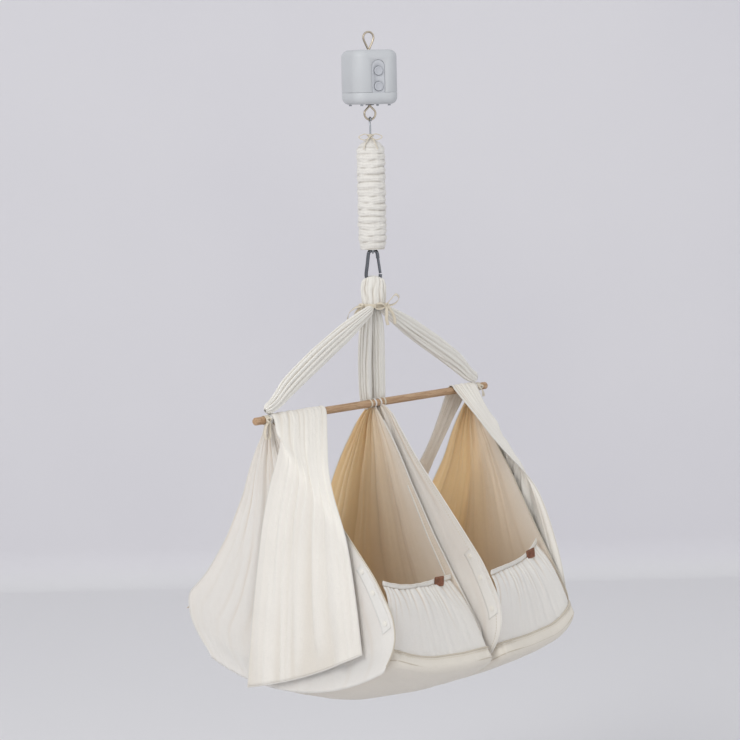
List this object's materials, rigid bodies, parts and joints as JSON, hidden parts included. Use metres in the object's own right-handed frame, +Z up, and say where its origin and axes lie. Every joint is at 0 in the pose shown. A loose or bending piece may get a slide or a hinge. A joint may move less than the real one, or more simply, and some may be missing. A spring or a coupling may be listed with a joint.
{
  "type": "hanging baby cradle",
  "caption": "Hanging twin baby cradle: grey motor unit with eyes, spring in a ruched sleeve, snap hook, cloth sling, wooden spreader bar and cotton cradles with canopies.",
  "frame": {"origin": "where the ceiling hook bears, at the inside top of the top eye", "axes": "+Z up, +X along the spreader bar from the left cradle to the right one, -Y towards the foot end with the aprons"},
  "size_m": [0.78, 0.7164, 1.4713],
  "materials": {
    "shell": "satin light grey moulded plastic",
    "panel": "satin light grey moulded plastic",
    "button": "satin light grey moulded plastic",
    "port": "matt brown rubber",
    "gearbox": "matt dark casting",
    "carriage": "dark moulded plastic",
    "bush": "dark moulded plastic",
    "board": "green laminate",
    "steel": "bright zinc-plated steel",
    "spring_steel": "bright spring steel",
    "nickel": "warm nickel-plated steel",
    "sleeve_cloth": "ruched unbleached cotton",
    "sling_cloth": "unbleached cotton",
    "cradle_cloth": "unbleached cotton",
    "base_cloth": "unbleached cotton with a sewn edge",
    "canopy_cloth": "light unbleached cotton",
    "tape": "cotton tape",
    "padding": "cotton-covered padding",
    "beech": "plain beech",
    "leather": "smooth tan leather"
  },
  "bodies": {
    "motor_unit": {"housing_upper": "shell", "housing_base": "shell", "housing_screw_1": "steel", "housing_screw_2": "steel", "housing_screw_3": "steel", "housing_screw_4": "steel", "top_eye": "nickel", "eye_nut": "steel", "chassis": "steel", "left_guide_rod": "steel", "right_guide_rod": "steel", "gearmotor": "gearbox", "stem_bush": "bush", "control_panel": "panel", "circuit_board": "board", "port_cover": "port"},
    "upper_button_body": {"upper_button": "button"},
    "lower_button_body": {"lower_button": "button"},
    "crank_body": {"crank": "steel"},
    "lift_body": {"lift_carriage": "carriage", "lower_eye": "nickel"},
    "top_hook_body": {"top_hook": "steel"},
    "spring_body": {"spring": "spring_steel", "spring_sleeve": "sleeve_cloth", "sleeve_top_cord": "tape"},
    "bottom_hook_body": {"bottom_hook": "steel", "sleeve_bottom_cord": "tape"},
    "snap_hook_body": {"snap_hook": "steel"},
    "gate_body": {"snap_hook_gate": "steel"},
    "sling": {"sling_head": "sling_cloth", "apex_tie": "tape", "left_sling_arm": "sling_cloth", "right_sling_arm": "sling_cloth", "left_centre_sling": "sling_cloth", "right_centre_sling": "sling_cloth", "left_arm_tie": "tape", "right_arm_tie": "tape", "left_centre_tie": "tape", "right_centre_tie": "tape", "spreader_bar": "beech"},
    "left_cradle": {"left_tray": "base_cloth", "left_mattress": "padding", "left_outer_wall": "cradle_cloth", "left_inner_wall": "cradle_cloth", "left_apron": "cradle_cloth", "left_apron_elastic": "tape", "left_leather_tab": "leather", "left_snap_tape": "tape", "left_canopy": "canopy_cloth"},
    "right_cradle": {"right_tray": "base_cloth", "right_mattress": "padding", "right_outer_wall": "cradle_cloth", "right_inner_wall": "cradle_cloth", "right_apron": "cradle_cloth", "right_apron_elastic": "tape", "right_leather_tab": "leather", "right_snap_tape": "tape", "right_canopy": "canopy_cloth"}
  },
  "joints": [
    {"name": "lift_slide", "type": "slide", "parent": "motor_unit", "child": "lift_body", "axis": [0, 0, -1], "range_m": [0, 0.0169]},
    {"name": "crank_turn", "type": "hinge", "parent": "motor_unit", "child": "crank_body", "pos_m": [0, 0, -0.0975], "axis": [0.4226, 0.9063, 0], "range_deg": [0, 90]},
    {"name": "upper_button_press", "type": "slide", "parent": "motor_unit", "child": "upper_button_body", "axis": [0.4226, 0.9063, 0], "range_m": [0, 0.0015], "stiffness_N_per_m": 600, "springref_m": -0.001},
    {"name": "lower_button_press", "type": "slide", "parent": "motor_unit", "child": "lower_button_body", "axis": [0.4226, 0.9063, 0], "range_m": [0, 0.0015], "stiffness_N_per_m": 600, "springref_m": -0.001},
    {"name": "top_hook_swing", "type": "hinge", "parent": "lift_body", "child": "top_hook_body", "pos_m": [0, 0, -0.19125], "axis": [0.9063, -0.4226, 0], "range_deg": [-15, 15]},
    {"name": "spring_swivel", "type": "hinge", "parent": "top_hook_body", "child": "spring_body", "pos_m": [0, 0, -0.24], "axis": [0, 0, 1], "range_deg": [-180, 180]},
    {"name": "spring_stretch", "type": "slide", "parent": "spring_body", "child": "bottom_hook_body", "axis": [0, 0, -1], "range_m": [-0.03, 0.12], "stiffness_N_per_m": 500, "springref_m": -0.12748, "deforming": ["spring", "spring_sleeve"]},
    {"name": "snap_hook_swing", "type": "hinge", "parent": "bottom_hook_body", "child": "snap_hook_body", "pos_m": [0, 0, -0.482], "axis": [0.6947, -0.7193, 0], "range_deg": [-20, 20]},
    {"name": "gate_swing", "type": "hinge", "parent": "snap_hook_body", "child": "gate_body", "pos_m": [0.00558, -0.00578, -0.5009], "axis": [0.7193, 0.6947, 0], "range_deg": [0, 20], "stiffness_Nm_per_rad": 0.1, "springref_deg": -5.73},
    {"name": "sling_rock", "type": "hinge", "parent": "snap_hook_body", "child": "sling", "pos_m": [0, 0, -0.538], "axis": [0.7193, 0.6947, 0], "range_deg": [-12, 12]},
    {"name": "left_cradle_swing", "type": "hinge", "parent": "sling", "child": "left_cradle", "pos_m": [0, 0, -0.826], "axis": [1, 0, 0], "range_deg": [-12, 12]},
    {"name": "right_cradle_swing", "type": "hinge", "parent": "sling", "child": "right_cradle", "pos_m": [0, 0, -0.826], "axis": [1, 0, 0], "range_deg": [-12, 12]}
  ],
  "couplings": [
    {"joint": "crank_turn", "follows": "lift_slide", "rad_per_m": 92.5}
  ]
}
